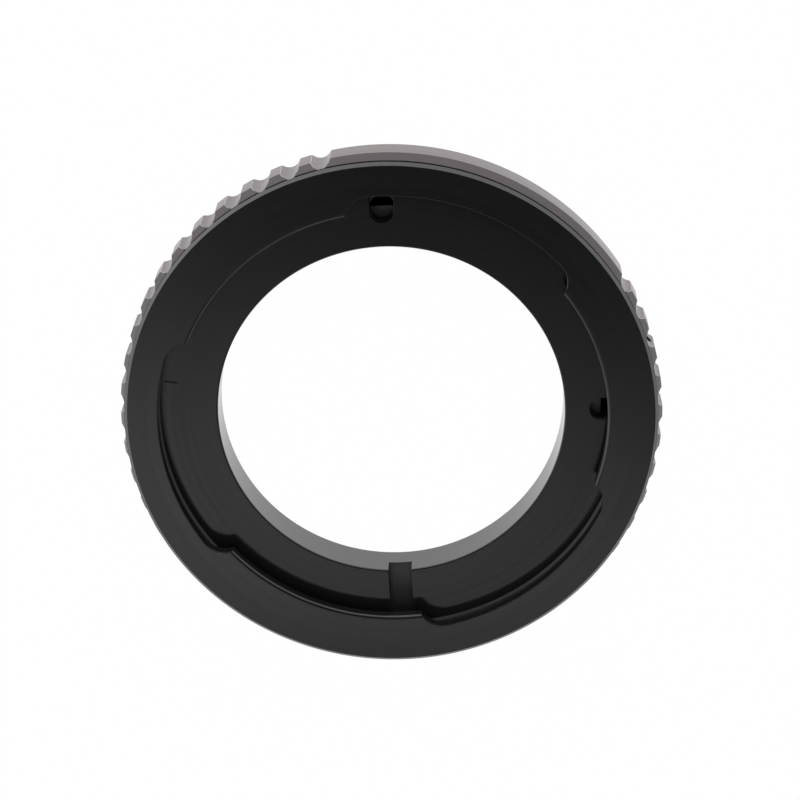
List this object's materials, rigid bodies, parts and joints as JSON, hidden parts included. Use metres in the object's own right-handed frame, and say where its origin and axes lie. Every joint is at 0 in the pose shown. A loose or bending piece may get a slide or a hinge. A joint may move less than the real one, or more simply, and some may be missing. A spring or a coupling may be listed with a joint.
{
  "type": "lens mount adapter",
  "caption": "Flat round lens mount adapter with a three-tab bayonet throat, a scalloped grip band, a stepped bore and a rear spigot.",
  "frame": {"origin": "centre of the rear end of the spigot, on the optical axis", "axes": "+Z along the optical axis, out of the lens side; +Y towards the top of the picture, where the plain stretch of the grip is"},
  "size_m": [0.064, 0.064, 0.0082],
  "materials": {
    "outer_ring": "black anodised, satin",
    "inner_ring": "black anodised, satin",
    "grub_screw": "black oxide"
  },
  "bodies": {
    "root": {"outer_ring": "outer_ring", "inner_ring": "inner_ring", "grub_screw": "grub_screw"}
  },
  "joints": []
}
